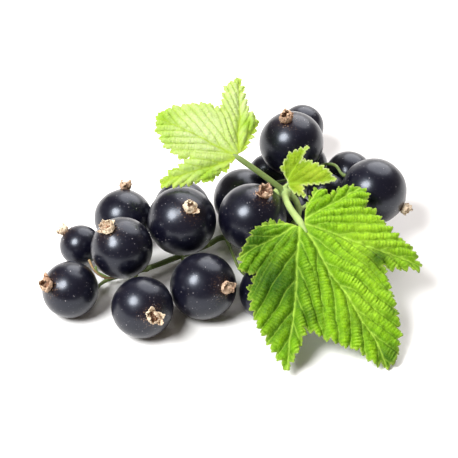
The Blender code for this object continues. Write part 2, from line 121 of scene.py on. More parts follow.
# The points that each berry's stalk passes, from the strig; it ends in the berry
STALKS = {
    "left_1": [(-22.0, -7.1, 1.5), (-23.2, -8.9, 1.9)],
    "left_2": [(-21.6, -6.8, 1.5), (-24.0, -5.9, 2.6)],
    "left_3": [(-14.4, -3.8, 1.6), (-15.0, -6.0, 2.8)],
    "left_4": [(-17.0, -4.9, 1.5), (-18.6, -1.0, 1.3)],
    "left_5": [(-8.0, 0.0, 1.65), (-9.3, 0.6, 3.8)],
    "left_6": [(-4.0, 2.4, 1.7), (-6.5, 2.9, 2.9)],
    "left_7": [(-16.6, -4.7, 1.5), (-16.9, -8.0, 2.4), (-17.0, -11.0, 3.2)],
    "left_8": [(-8.6, -0.4, 1.6), (-8.3, -4.0, 2.2), (-9.0, -7.6, 3.1)],
    "left_9": [(0.5, 3.6, 2.1), (0.6, 1.2, 3.2)],
    "left_10": [(6.0, 1.8, 3.6), (5.8, 3.6, 4.4)],
    "left_11": [(-0.5, 4.0, 1.9), (0.2, 0.6, 2.5), (1.8, -6.5, 3.8)],
    "right_1": [(13.6, 13.6, 7.4), (13.3, 15.0, 8.3)],
    "right_2": [(14.5, 23.5, 8.8), (14.4, 25.6, 8.3)],
    "right_3": [(14.0, 14.4, 7.3), (12.6, 16.6, 6.0)],
    "right_4": [(14.2, 15.2, 7.4), (17.3, 15.4, 10.2), (19.6, 12.8, 12.3)],
    "right_5": [(14.0, 14.4, 7.3), (16.8, 16.3, 6.7)],
    "right_6": [(12.4, 1.8, 10.1), (14.5, 3.0, 11.1), (17.2, 6.2, 10.2)],
    "right_7": [(14.5, 18.0, 7.8), (15.2, 18.8, 6.5)],
    "right_8": [(13.9, 14.0, 7.35), (13.9, 14.5, 5.4)],
}
STALK_FOOT = 0.38
STALK_RADIUS = 0.3
STALK_HEAD = 0.44
# A dried stalk that has lost its berry, bent up beside left_3
DRY_STALK = [
    (-17.4, -5.0, 1.5, 0.3), (-19.6, -7.4, 2.6, 0.22), (-22.0, -10.6, 5.2, 0.2),
    (-23.6, -10.9, 7.0, 0.22), (-24.7, -9.6, 8.6, 0.26),
]

# Leaves, each in its own plane: x runs along the midrib from the stalk, y to its left. The margin
# is walked once round from the stalk, and each lobe's tip and notch is named. A vein has a
# bearing, a length and the spacing of its side veins. Two lists of soft patches paint shade and
# light on the blade, each patch a place, a size and a strength. Heading, rise and roll hold the
# plane at its foot, and droop bends it down further out. Tooth is the teeth's pitch and grid the
# mesh's grain, pleat, crinkle and rungs are heights of relief, and edging is how much the edge is tinted.
TIP, NOTCH = "tip", "notch"
LARGE_LEAF = {
    "foot": (12.4, -7.0, 15.0),
    "heading": -55,
    "rise": -20,
    "roll": 8,
    "droop": 0.005,
    "tooth": 1.7,
    "grid": 0.2,
    "pleat": 0.75,
    "crinkle": 0.3,
    "rungs": 0.15,
    "edging": 0.5,
    "seed": 3.0,
    # Soft patches of painted shade, where the blade is turned from the light
    "painted_shade": [(7.0, -10.5, 6.5, 0.95), (-1.5, -9.0, 4.5, 0.9), (12.6, 8.2, 2.3, 0.9),
             (28.5, 0.6, 2.6, 0.8), (15.5, -8.5, 2.2, 0.75), (1.5, -5.0, 3.0, 0.55),
             (22.0, 5.0, 1.6, 0.6), (14.0, -14.0, 3.5, 0.6), (11.0, -6.0, 3.0, 0.45),
             (20.5, -2.0, 2.5, 0.4)],
    # Soft patches of painted light, where the blade is lit
    "light": [(9.0, 8.6, 6.0, 0.65), (19.0, 1.5, 4.5, 0.4), (3.0, 9.0, 4.5, 0.25)],
    "veins": [(-118, 8.0, 3.8), (-88, 13.5, 4.2), (-38, 26.0, 5.2), (-2, 28.5, 5.0), (40, 21.5, 4.0),
              (93, 13.5, 3.8), (124, 7.5, 3.6)],
    "margin": [
        (0.4, -0.7), (-1.2, -2.0), (-2.9, -4.8), (-3.0, -7.5), (-0.6, -11.7),
        (2.4, -14.0, TIP), (4.4, -12.0, NOTCH), (6.4, -14.8), (9.8, -16.1), (13.0, -16.6),
        (16.2, -16.7), (21.1, -16.5, TIP), (19.2, -12.6), (16.9, -10.1, NOTCH), (19.5, -8.3),
        (21.8, -6.4), (24.6, -3.9), (27.2, -3.2), (29.4, -0.4, TIP), (28.6, 1.5),
        (26.2, 3.4), (22.9, 5.2), (18.3, 6.9), (14.2, 8.2, NOTCH), (15.6, 9.8),
        (16.5, 12.2), (17.3, 14.4, TIP), (14.1, 14.7), (10.8, 14.0), (7.8, 13.2),
        (5.2, 13.1), (3.2, 12.0, NOTCH), (0.7, 14.2, TIP), (-1.6, 13.1), (-2.2, 10.6),
        (-1.9, 7.7, NOTCH), (-4.1, 6.9, TIP), (-3.5, 4.8), (-2.0, 2.6), (0.4, 0.7),
    ],
}
UPPER_LEAF = {
    "foot": (1.8, 4.5, 20.5),
    "heading": 157,
    "rise": 24,
    "roll": -24,
    "droop": 0.012,
    "tooth": 1.5,
    "grid": 0.17,
    "pleat": 0.42,
    "crinkle": 0.16,
    "rungs": 0.06,
    "edging": 0.45,
    "seed": 11.0,
    # Soft patches of painted shade
    "painted_shade": [(9.0, 9.0, 2.0, 0.3), (2.0, -6.5, 1.6, 0.8), (3.0, 6.2, 2.2, 0.75), (15.5, 0.5, 2.4, 0.6),
             (6.0, 7.0, 1.6, 0.4), (13.0, 4.0, 1.8, 0.4)],
    # Soft patches of painted light
    "light": [(8.0, -1.0, 5.0, 0.7), (5.5, -9.5, 3.5, 0.6), (5.5, 6.5, 2.5, 0.4)],
    "veins": [(-85, 8.0, 2.6), (-61, 16.0, 2.5), (3, 16.0, 2.9), (51, 13.8, 2.9), (76, 6.5, 2.6)],
    "margin": [
        (0.4, -0.6), (-0.1, -1.7), (0.1, -4.0), (0.3, -6.8), (1.2, -8.6),
        (3.1, -9.0), (5.9, -12.1), (8.1, -14.9, TIP), (9.2, -11.7), (8.4, -8.6),
        (7.2, -6.3, NOTCH), (10.1, -6.1), (12.7, -4.6), (15.2, -2.2), (16.6, 0.3, TIP),
        (15.4, 2.8), (12.6, 4.9), (9.4, 5.7), (7.3, 5.0, NOTCH), (8.1, 7.4),
        (9.0, 9.4), (9.2, 11.4, TIP), (7.2, 10.9), (5.1, 9.4), (3.3, 7.4),
        (1.9, 6.6), (1.2, 3.9), (0.5, 1.9), (0.4, 0.6),
    ],
}
SMALL_LEAF = {
    "foot": (10.1, 3.6, 15.0),
    "heading": -15,
    "rise": 27,
    "roll": 38,
    "droop": 0.01,
    "tooth": 1.1,
    "grid": 0.15,
    "pleat": 0.3,
    "crinkle": 0.2,
    "rungs": 0.07,
    "edging": 0.5,
    "seed": 23.0,
    # Soft patches of painted shade
    "painted_shade": [(0.3, 2.2, 1.0, 0.75), (0.7, 4.0, 0.9, 0.7), (3.2, 3.2, 0.9, 0.5)],
    # Soft patches of painted light
    "light": [(3.6, -2.0, 1.6, 0.85), (6.0, 0.6, 2.0, 0.3)],
    "veins": [(-42, 4.0, 2.4), (-5, 9.4, 2.6), (52, 8.0, 2.5), (88, 4.5, 2.4)],
    "margin": [
        (0.5, -0.5), (1.2, -1.6), (3.6, -3.0, TIP), (3.4, -0.8, NOTCH), (5.4, -1.0),
        (7.7, -1.3), (9.6, -1.1, TIP), (8.7, 0.8), (6.9, 2.3), (4.5, 3.6),
        (3.3, 3.7, NOTCH), (4.9, 6.4, TIP), (1.8, 5.8), (0.5, 5.0), (-0.4, 3.9),
        (-0.4, 2.3), (0.5, 0.5),
    ],
}
TOOTH_HEIGHT = 0.38  # as a share of the tooth's pitch
TOOTH_SPREAD = (0.6, 1.45)  # the lowest and the highest tooth beside that
TOOTH_LEAN = 0.75  # how far along its pitch a tooth's point stands, towards the lobe's tip
TOOTH_STEPS = 10
SMALL_TOOTH = 0.35  # height of the teeth on the teeth, as a share of theirs
TOOTH_SET_BACK = 0.4  # share of a tooth's height that lies within the margin's line
VEIN_ANGLE = radians(25)  # between a rib and its side veins
VEIN_STAGGER = 0.45  # of one side's veins beside the other's, as a share of their spacing
SIDE_VEIN_WIDTH = 0.13
RIB_DEPTH = 0.6  # of the crease that a rib lies in
RIB_WIDTH = 0.8
VEIN_STRAY = 0.65  # how far veins wander off a straight line
LADDER_PITCH = 0.57  # between the fine cross wrinkles
BLADE_THICKNESS = 0.32
RIM_THICKNESS = 0.12
RIM_WIDTH = 0.6  # over which a blade thins and turns down to its edge
RIM_DROP = 0.2
TINTED_RIM = 0.22  # how far in from the edge its tint reaches
UNDER_RIB = 0.32  # how far a rib stands out under the blade
NET_CELL = 0.42  # across a cell of the finest veins
GLOW_DEPTH = 0.6  # how far light spreads inside a leaf or a stalk
UV_SPAN = 50.0  # millimetres of leaf across its UV map
GRID_ROWS = 0.866  # between the rows of an even triangular grid, as a share of its step

# Stalks are drawn as tubes, then fused in one skin with this grain
ROUTE_STEP = 0.5
TUBE_STEP = 0.35
TUBE_SIDES = 16
FUSE_GRAIN = 0.12


class Field:
    """A value in a node tree, which takes Python's arithmetic."""

    def __init__(self, wiring, socket):
        self.wiring = wiring
        self.socket = socket


ARITHMETIC = {"add": "ADD", "sub": "SUBTRACT", "mul": "MULTIPLY", "truediv": "DIVIDE", "pow": "POWER"}


def teach_fields(sign, operation):
    """Gives fields one of Python's signs, with the field before it or after it."""

    def before(field, other):
        return field.wiring.math(operation, field, other)

    def after(field, other):
        return field.wiring.math(operation, other, field)

    setattr(Field, f"__{sign}__", before)
    setattr(Field, f"__r{sign}__", after)


for sign, operation in ARITHMETIC.items():
    teach_fields(sign, operation)


class Wiring:
    """Adds nodes to a tree and joins them up."""

    def __init__(self, tree):
        self.tree = tree

    def feed(self, socket, value):
        if isinstance(value, Field):
            value = value.socket
        if isinstance(value, bpy.types.NodeSocket):
            self.tree.links.new(value, socket)
        else:
            socket.default_value = value

    def add(self, kind, feeds=None, **settings):
        node = self.tree.nodes.new(kind)
        for name, value in settings.items():
            setattr(node, name, value)
        for key, value in (feeds or {}).items():
            self.feed(node.inputs[key], value)
        return node

    def math(self, operation, *values):
        node = self.add("ShaderNodeMath", dict(enumerate(values)), operation=operation)
        return Field(self, node.outputs[0])

    def bell(self, value):
        """1 where the value is 0, falling to 0 on both sides."""
        return self.math("EXPONENT", 0.0 - value * value)

    def ramp(self, value, low, high, start=0.0, end=1.0):
        """From start to end as the value goes from low to high, and level beyond."""
        feeds = {0: value, 1: low, 2: high, 3: start, 4: end}
        return Field(self, self.add("ShaderNodeMapRange", feeds, clamp=True).outputs[0])

    def split(self, vector):
        node = self.add("ShaderNodeSeparateXYZ", {0: vector})
        return [Field(self, socket) for socket in node.outputs]

    def point(self, x, y, z):
        return self.add("ShaderNodeCombineXYZ", {0: x, 1: y, 2: z}).outputs[0]

    def noise(self, vector, scale, detail=2.0, w=None):
        feeds = {"Vector": vector, "Scale": scale, "Detail": detail}
        if w is None:
            return self.add("ShaderNodeTexNoise", feeds)
        feeds["W"] = w
        return self.add("ShaderNodeTexNoise", feeds, noise_dimensions="4D")

    def shift(self, pattern, size):
        """A noise's colour as a shift of this size, each way."""
        feeds = {0: pattern.outputs["Color"], 1: (0.5, 0.5, 0.5)}
        middle = self.add("ShaderNodeVectorMath", feeds, operation="SUBTRACT")
        feeds = {0: middle.outputs[0], "Scale": size}
        return self.add("ShaderNodeVectorMath", feeds, operation="SCALE").outputs[0]

    def mix(self, share, start, end):
        """Between two colours."""
        node = self.add("ShaderNodeMix", {0: share, 6: start, 7: end}, data_type="RGBA")
        return node.outputs[2]

    def attribute(self, name):
        return Field(self, self.add("ShaderNodeAttribute", attribute_name=name).outputs["Fac"])

    def object_place(self):
        """The place on the piece, for a finish."""
        return self.add("ShaderNodeTexCoord").outputs["Object"]

    def shape(self, kind, feeds=None, **settings):
        """What a geometry node of this kind puts out first."""
        return self.add("GeometryNode" + kind, feeds, **settings).outputs[0]

    def store(self, shape, name, value, domain="POINT"):
        """A shape with a number stored on it."""
        feeds = {"Geometry": shape, "Name": name, "Value": value}
        return self.shape("StoreNamedAttribute", feeds, domain=domain)

    def stored(self, name):
        """A number stored on a shape, for a geometry tree."""
        return Field(self, self.shape("InputNamedAttribute", {"Name": name}))


def colour(red, green, blue):
    return (red, green, blue, 1.0)


def pointing(compass, rise):
    """Unit vector from a compass angle and a rise, in degrees."""
    level = cos(radians(rise))
    return Vector((level * cos(radians(compass)), level * sin(radians(compass)), sin(radians(rise))))


def add_object(name, data):
    """A new object in the scene, at the origin."""
    made = bpy.data.objects.new(name, data)
    bpy.context.scene.collection.objects.link(made)
    return made


def finished_mesh(holder):
    """The plain mesh that an object's modifiers make; the object is removed."""
    bpy.context.view_layer.update()
    evaluated = holder.evaluated_get(bpy.context.evaluated_depsgraph_get())
    mesh = bpy.data.meshes.new_from_object(evaluated)
    bpy.data.objects.remove(holder, do_unlink=True)
    return mesh


def finish_piece(name, mesh, nodes):
    """A piece of the sprig from a mesh in place, standing for these solids; flat where it rests."""
    places = np.zeros(len(mesh.vertices) * 3, np.float32)
    mesh.vertices.foreach_get("co", places)
    places[2::3] = np.maximum(places[2::3], 0.0)
    mesh.vertices.foreach_set("co", places)
    mesh.update()
    piece = add_object(name, mesh)
    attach(piece, "root")
    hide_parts(*nodes)


# Node groups and trees
def new_tree(name, kind, inputs, output, output_kind):
    """An empty node tree with named inputs and one output: itself, its wiring and its two ends."""
    tree = bpy.data.node_groups.new(name, kind)
    for socket, socket_kind in inputs.items():
        tree.interface.new_socket(socket, in_out="INPUT", socket_type="NodeSocket" + socket_kind)
    tree.interface.new_socket(output, in_out="OUTPUT", socket_type="NodeSocket" + output_kind)
    wiring = Wiring(tree)
    given = {socket.name: Field(wiring, socket) for socket in wiring.add("NodeGroupInput").outputs}
    result = wiring.add("NodeGroupOutput").inputs[0]
    return tree, wiring, given, result


def floats(*names):
    return dict.fromkeys(names, "Float")


def shader_group(name, inputs):
    return new_tree(name, "ShaderNodeTree", inputs, "Mask", "Float")


def geometry_tree(name, inputs):
    return new_tree(name, "GeometryNodeTree", inputs, "Geometry", "Geometry")


def make_mottle_group():
    """Soft patches: 0 to 1 over the surface."""
    inputs = {"Vector": "Vector", **floats("Scale", "Low", "High")}
    tree, wiring, given, result = shader_group("mottle", inputs)
    patches = wiring.noise(given["Vector"], given["Scale"], detail=4.0).outputs["Fac"]
    wiring.feed(result, wiring.ramp(patches, given["Low"], given["High"]))
    return tree


def make_speck_group():
    """Small round specks, one to a cell, some of them faint."""
    inputs = {"Vector": "Vector", **floats("Scale", "Size")}
    tree, wiring, given, result = shader_group("specks", inputs)
    cells = wiring.add("ShaderNodeTexVoronoi", {"Vector": given["Vector"], "Scale": given["Scale"]})
    dots = wiring.ramp(cells.outputs["Distance"], given["Size"] * 0.4, given["Size"], 1.0, 0.0)
    strength = wiring.split(cells.outputs["Color"])[0]
    wiring.feed(result, strength * dots)
    return tree


MOTTLE = make_mottle_group()
SPECKS = make_speck_group()


def use_group(wiring, tree, feeds):
    return Field(wiring, wiring.add("ShaderNodeGroup", feeds, node_tree=tree).outputs[0])


def mottle(wiring, place, scale, low, high):
    """Soft patches on a finish."""
    return use_group(wiring, MOTTLE, {"Vector": place, "Scale": scale, "Low": low, "High": high})


def specks(wiring, place, scale, size):
    """Small round specks on a finish."""
    return use_group(wiring, SPECKS, {"Vector": place, "Scale": scale, "Size": size})


# Finishes
def new_material(name, settings):
    material = bpy.data.materials.new(name)
    material.use_nodes = True
    shader = material.node_tree.nodes["Principled BSDF"]
    for socket, value in settings.items():
        shader.inputs[socket].default_value = value
    return material, Wiring(material.node_tree), shader.inputs


def raise_grain(wiring, sockets, height, depth):
    """Fine relief from a height of 0 to 1 that stands for a depth in millimetres."""
    bump = wiring.add("ShaderNodeBump", {"Strength": 1.0, "Distance": depth * MM, "Height": height})
    wiring.feed(sockets["Normal"], bump.outputs[0])


def make_berry_skin():
    """Blue-black waxy skin with a thin bloom and fine pale specks, rusty round the withered flower."""
    material, wiring, sockets = new_material("berry skin", {
        "IOR": 1.45,
        "Specular Tint": colour(0.80, 0.87, 1.0),
        "Coat Weight": 0.2,
        "Coat Roughness": 0.18,
        "Metallic": 0.0,
    })
    place = wiring.object_place()
    bloom = mottle(wiring, place, 210.0, 0.35, 0.75)
    fine = mottle(wiring, place, 1500.0, 0.3, 0.8)
    dots = specks(wiring, place, 1400.0, 0.17)
    dust = specks(wiring, place, 2100.0, 0.2)
    rust = specks(wiring, place, 2500.0, 0.36)
    skin = wiring.mix(bloom, colour(0.0020, 0.0020, 0.007), colour(0.006, 0.006, 0.014))
    skin = wiring.mix(fine * 0.4, skin, colour(0.008, 0.007, 0.014))
    crown_end = wiring.attribute("crown_end")
    skin = wiring.mix(crown_end * 0.6, skin, colour(0.030, 0.014, 0.010))
    skin = wiring.mix(dust * 0.45, skin, colour(0.15, 0.14, 0.17))
    skin = wiring.mix(dots * dots, skin, colour(0.48, 0.45, 0.47))
    skin = wiring.mix(rust * crown_end, skin, colour(0.60, 0.36, 0.20))
    wiring.feed(sockets["Base Color"], skin)
    wiring.feed(sockets["Roughness"], 0.28 + bloom * 0.09 + dots * 0.2)
    raise_grain(wiring, sockets, fine * 0.6 + dots, 0.012)
    return material


def make_husk_finish():
    """Dry flower: straw at the tips to rust in the throat, papery and matte."""
    material, wiring, sockets = new_material("dry flower", {"Metallic": 0.0})
    place = wiring.object_place()
    streaks = mottle(wiring, place, 2600.0, 0.38, 0.66)
    patches = mottle(wiring, place, 900.0, 0.35, 0.65)
    reach = wiring.attribute("reach")
    tone = wiring.attribute("tone")
    dry = wiring.mix(reach, colour(0.13, 0.05, 0.025), colour(0.74, 0.51, 0.34))
    dry = wiring.mix(patches * 0.6, dry, colour(0.46, 0.21, 0.11))
    dry = wiring.mix(streaks * 0.6, dry, colour(0.07, 0.026, 0.014))
    dry = wiring.mix(tone, dry, colour(0.82, 0.69, 0.50))
    wiring.feed(sockets["Base Color"], dry)
    wiring.feed(sockets["Roughness"], 0.78 + patches * 0.15)
    raise_grain(wiring, sockets, streaks, 0.05)
    return material


def make_stem_finish():
    """Soft stalk: pale green by the leaves, olive along the strigs, with browner flecks."""
    material, wiring, sockets = new_material("green stalk", {
        "Metallic": 0.0,
        "Specular IOR Level": 0.35,
        "Subsurface Weight": 0.12,
        "Subsurface Scale": GLOW_DEPTH * MM,
    })
    place = wiring.object_place()
    patches = mottle(wiring, place, 500.0, 0.3, 0.7)
    grain = mottle(wiring, place, 3200.0, 0.3, 0.7)
    flecks = specks(wiring, place, 1700.0, 0.2)
    age = wiring.attribute("age")
    green = wiring.mix(age, colour(0.42, 0.55, 0.18), colour(0.060, 0.095, 0.015))
    green = wiring.mix(patches * 0.35, green, colour(0.14, 0.21, 0.05))
    green = wiring.mix(age - 1.0, green, colour(0.40, 0.27, 0.13))
    green = wiring.mix(flecks * 0.5 * age, green, colour(0.12, 0.06, 0.03))
    wiring.feed(sockets["Base Color"], green)
    wiring.feed(sockets["Roughness"], 0.48 + grain * 0.15)
    raise_grain(wiring, sockets, grain + patches * 0.5, 0.05)
    return material


def make_leaf_finish(name, tints):
    """Wrinkled blade: pale ribs in their creases, a fine net, mottled green and paler teeth, with painted
    light on crests, wrinkles and lit patches, and painted shade in hollows, beside veins and in shaded
    patches.
    """
    material, wiring, sockets = new_material(name, {
        "Metallic": 0.0,
        "Specular IOR Level": 0.13,
        "Subsurface Weight": tints["glow"],
        "Subsurface Radius": (0.6, 1.0, 0.25),
        "Subsurface Scale": GLOW_DEPTH * MM,
    })
    place = wiring.object_place()
    plane = wiring.add("ShaderNodeUVMap", uv_map="plane").outputs[0]
    patches = mottle(wiring, place, 170.0, 0.35, 0.68)
    fine = mottle(wiring, place, 1600.0, 0.3, 0.7)
    net = wiring.add("ShaderNodeTexVoronoi", {"Vector": plane, "Scale": UV_SPAN / NET_CELL},
                     feature="DISTANCE_TO_EDGE", voronoi_dimensions="2D")
    mesh_lines = wiring.ramp(net.outputs["Distance"], 0.0, 0.16, 1.0, 0.0)
    lit_crest = wiring.attribute("lit_crest")
    ladder = wiring.attribute("ladder")
    # Painted shade in the troughs of the fine cross wrinkles and a painted highlight on their ridges,
    # over the real wrinkles
    wrinkle_shade = wiring.math("MAXIMUM", 0.0 - ladder, 0.0) ** 1.5 * tints["rungs"]
    wrinkle_highlight = wiring.math("MAXIMUM", ladder, 0.0) ** 2.0 * tints["rungs"] * 0.85
    # Painted light on the pleats' crests, painted shade in their hollows and by the ribs
    green = wiring.mix(lit_crest, tints["hollow_shade"], tints["lit_crest"])
    green = wiring.mix(patches * 0.4, green, tints["patch"])
    # Painted light: soft paler, yellower patches where the blade is lit
    green = wiring.mix(wiring.attribute("light"), green, tints["light"])
    # Painted shade: soft dark patches where the blade is turned from the light; the pale veins and net
    # fade in it
    painted_shade = wiring.attribute("painted_shade")
    green = wiring.mix(painted_shade, green, tints["painted_shade"])
    green = wiring.mix(fine * 0.3, green, tints["hollow_shade"])
    green = wiring.mix(wrinkle_shade, green, tints["hollow_shade"])
    pale = 1.0 - painted_shade * 0.75
    green = wiring.mix(wrinkle_highlight * pale, green, tints["vein"])
    green = wiring.mix(mesh_lines * 0.2 * pale, green, tints["vein"])
    # Painted shade in a strip beside each rib and side vein
    green = wiring.mix(wiring.attribute("flank_shade") * tints["flank_shade"], green, tints["painted_shade"])
    green = wiring.mix(wiring.attribute("vein") * (1.0 - painted_shade * 0.5), green, tints["vein"])
    green = wiring.mix(wiring.attribute("rim"), green, tints["rim"])
    green = wiring.mix(wiring.attribute("under"), green, tints["under"])
    wiring.feed(sockets["Base Color"], green)
    wiring.feed(sockets["Roughness"], 0.46 + patches * 0.12 + mesh_lines * 0.08)
    raise_grain(wiring, sockets, (1.0 - mesh_lines) * 0.6 + fine * 0.5, 0.09)
    return material


# Shapes from geometry trees
def finish_tree(wiring, result, shape, material):
    """The last nodes of a tree: real faces, shaded smooth, with their material."""
    shape = wiring.shape("RealizeInstances", {0: shape})
    shape = wiring.shape("SetShadeSmooth", {"Geometry": shape})
    wiring.feed(result, wiring.shape("SetMaterial", {"Geometry": shape, "Material": material}))


def grow(tree, source, values):
    """The plain mesh that a geometry tree makes from a source and these inputs."""
    seedling = add_object("seedling", source)
    shape = seedling.modifiers.new("shape", "NODES")
    shape.node_group = tree
    for socket in tree.interface.items_tree:
        if socket.in_out == "INPUT" and socket.name in values:
            shape[socket.identifier] = values[socket.name]
    return finished_mesh(seedling)


# Berries
def make_fruit_tree():
    """A turned berry along +Z, its crown end up, dimpled at both ends and slightly uneven."""
    inputs = floats("Radius", "Length", "Dimple Depth", "Dimple Width", "Collar Height",
                    "Lump Height", "Lump Size", "Seed")
    inputs["Material"] = "Material"
    tree, wiring, given, result = geometry_tree("berry", inputs)
    ball = wiring.shape("MeshUVSphere", {"Segments": 72, "Rings": 44, "Radius": given["Radius"]})
    place = wiring.shape("InputPosition")
    x, y, z = wiring.split(place)
    reach = (x * x + y * y) ** 0.5
    up = wiring.math("GREATER_THAN", z, 0.0)
    dimple = wiring.bell(reach / given["Dimple Width"]) * given["Dimple Depth"]
    collar = wiring.bell((reach - COLLAR_REACH) / COLLAR_WIDTH) * given["Collar Height"] * up
    height = z * given["Length"] - wiring.math("SIGN", z) * dimple + collar
    grain = wiring.noise(place, 1.0 / given["Lump Size"], w=given["Seed"])
    lump = 1.0 + (Field(wiring, grain.outputs["Fac"]) - 0.5) * given["Lump Height"]
    spot = wiring.point(x * lump, y * lump, height * lump)
    shape = wiring.shape("SetPosition", {"Geometry": ball, "Position": spot})
    shape = wiring.store(shape, "crown_end", wiring.bell(reach / RUST_REACH) * up)
    finish_tree(wiring, result, shape, given["Material"])
    return tree


def berry_place(name):
    """Centre of a berry in the frame, its radius in millimetres and the way its crown points."""
    width, compass, rise = BERRIES[name]
    low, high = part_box("berry_" + name)
    centre = (low + high) / 2
    if low.z < BERRY_FLAT * MM:
        centre.z = (width / 2 - BERRY_FLAT) * MM
    return centre, width / 2, pointing(compass, rise)


def placed(centre, axis):
    """Moves a shape made in millimetres along +Z to its place in the frame, in metres."""
    turn = axis.to_track_quat("Z", "Y").to_matrix().to_4x4()
    return Matrix.Translation(centre) @ turn @ Matrix.Scale(MM, 4)


def make_berries(tree, material):
    """A turned skin for each berry."""
    for number, name in enumerate(BERRIES):
        centre, radius, axis = berry_place(name)
        skin = grow(tree, bpy.data.meshes.new("fruit_" + name), {
            "Radius": radius,
            "Length": BERRY_LENGTH,
            "Dimple Depth": DIMPLE_DEPTH,
            "Dimple Width": 1.0,
            "Collar Height": 0.12,
            "Lump Height": 0.035,
            "Lump Size": 5.0,
            "Seed": float(number),
            "Material": material,
        })
        skin.transform(placed(centre, axis))
        finish_piece("fruit_" + name, skin, ["berry_" + name])


# Withered flowers on the berries' ends
def make_sepals(wiring, given, drawn):
    """Crumpled strips that stand in a ring, bent out and narrowed to their tips."""
    # A flat strip with its place along and across stored, copied once for each sepal
    strip = wiring.shape("MeshGrid", {"Size X": 2.0, "Size Y": 1.0, "Vertices X": 7, "Vertices Y": 11})
    x, y, _ = wiring.split(wiring.shape("InputPosition"))
    shape = wiring.store(strip, "across", x)
    shape = wiring.store(shape, "reach", y + 0.5)
    points = wiring.shape("Points", {"Count": given["Sepals"]})
    copies = wiring.shape("InstanceOnPoints", {"Points": points, "Instance": shape})
    shape = wiring.store(copies, "sepal", wiring.shape("InputIndex"), domain="INSTANCE")
    shape = wiring.shape("RealizeInstances", {0: shape})

    # Each sepal bends on an arc out of the cup, narrows to its tip and crumples
    across = wiring.stored("across")
    reach = wiring.stored("reach")
    sepal = wiring.stored("sepal")
    turn = (sepal + drawn(-0.22, 0.22, sepal, 1)) * (2 * pi) / given["Sepals"]
    length = drawn(0.65, 1.15, sepal, 2) * given["Sepal Length"]
    width = drawn(0.75, 1.2, sepal, 3) * given["Sepal Width"]
    tilt = drawn(-0.3, 0.35, sepal, 4) + given["Tilt"]
    curl = drawn(-0.9, 1.3, sepal, 5) + given["Curl"]
    bend = tilt + curl * reach * 0.5
    half = width * 0.5 * (reach + 0.3) ** 0.4 * wiring.math("MAXIMUM", 1.02 - reach, 0.0) ** 0.5 * 1.5
    side = across * half
    out = length * reach * wiring.math("SINE", bend) + given["Cup Radius"] - across * across * half * 0.55
    rise = length * reach * wiring.math("COSINE", bend) + 0.3
    cosine = wiring.math("COSINE", turn)
    sine = wiring.math("SINE", turn)
    spot = wiring.point(out * cosine - side * sine, out * sine + side * cosine, rise)
    shape = wiring.shape("SetPosition", {"Geometry": shape, "Position": spot})
    crumple = wiring.noise(wiring.shape("InputPosition"), 3.0, detail=4.0, w=given["Seed"] * 3.7)
    shift = wiring.shift(crumple, (reach + 0.15) * given["Crumple"])
    shape = wiring.shape("SetPosition", {"Geometry": shape, "Offset": shift})
    shape = wiring.store(shape, "tone", drawn(-0.15, 0.3, sepal, 6) + given["Paleness"])

    # The strips get their thickness
    thick = {"Mesh": shape, "Offset Scale": given["Thickness"], "Individual": False}
    joined = wiring.add("GeometryNodeJoinGeometry")
    wiring.feed(joined.inputs[0], wiring.shape("ExtrudeMesh", thick))
    wiring.feed(joined.inputs[0], wiring.shape("FlipFaces", {"Mesh": shape}))
    sepals = wiring.shape("MergeByDistance", {"Geometry": joined.outputs[0], "Distance": 0.001})
    return sepals, shift


def make_cup(wiring, given):
    """The short rough cup that the sepals stand on."""
    cup = wiring.shape("MeshCone", {
        "Vertices": 18,
        "Side Segments": 4,
        "Fill Segments": 2,
        "Radius Top": given["Cup Radius"] * 1.1,
        "Radius Bottom": given["Cup Radius"] * 1.25,
        "Depth": 0.6,
    })
    cup = wiring.shape("Transform", {"Geometry": cup, "Translation": (0.0, 0.0, 0.05)})
    rough = wiring.noise(wiring.shape("InputPosition"), 2.2, detail=2.0, w=given["Seed"] * 1.3)
    cup = wiring.shape("SetPosition", {"Geometry": cup, "Offset": wiring.shift(rough, 0.5)})
    return wiring.store(cup, "reach", 0.25)


def make_threads(wiring, given, drawn, shift):
    """Dry threads that stand in the cup, each with its own lean and length."""
    thread = wiring.shape("MeshCone", {
        "Vertices": 5,
        "Side Segments": 4,
        "Fill Segments": 1,
        "Radius Top": 0.05,
        "Radius Bottom": 0.11,
        "Depth": given["Thread Length"],
    })
    starts = wiring.shape("Points", {"Count": given["Threads"]})
    index = wiring.shape("InputIndex")
    roots = wiring.point(drawn(-0.55, 0.55, index, 11), drawn(-0.55, 0.55, index, 12), 0.1)
    starts = wiring.shape("SetPosition", {"Geometry": starts, "Position": roots})
    threads = wiring.shape("InstanceOnPoints", {
        "Points": starts,
        "Instance": thread,
        "Rotation": wiring.point(drawn(-0.8, 0.8, index, 13), drawn(-0.8, 0.8, index, 14), 0.0),
        "Scale": wiring.point(1.0, 1.0, drawn(0.5, 1.2, index, 15)),
    })
    threads = wiring.shape("RealizeInstances", {0: threads})
    threads = wiring.shape("SetPosition", {"Geometry": threads, "Offset": shift})
    return wiring.store(threads, "reach", drawn(0.3, 0.85, index, 16))


def make_husk_tree():
    """Crumpled sepals round a short cup, with dry threads in the middle, along +Z."""
    inputs = floats("Sepal Length", "Sepal Width", "Cup Radius", "Tilt", "Curl", "Crumple",
                    "Thickness", "Thread Length", "Paleness")
    inputs.update({"Sepals": "Int", "Threads": "Int", "Seed": "Int", "Material": "Material"})
    tree, wiring, given, result = geometry_tree("withered flower", inputs)

    def drawn(low, high, identity, step):
        """A number drawn once for each identity, such as a sepal's."""
        feeds = {2: low, 3: high, 7: identity, 8: given["Seed"] + step}
        return Field(wiring, wiring.add("FunctionNodeRandomValue", feeds).outputs[1])

    sepals, shift = make_sepals(wiring, given, drawn)
    cup = make_cup(wiring, given)
    threads = make_threads(wiring, given, drawn, shift)
    whole = wiring.add("GeometryNodeJoinGeometry")
    for part in (sepals, cup, threads):
        wiring.feed(whole.inputs[0], part)
    finish_tree(wiring, result, whole.outputs[0], given["Material"])
    return tree


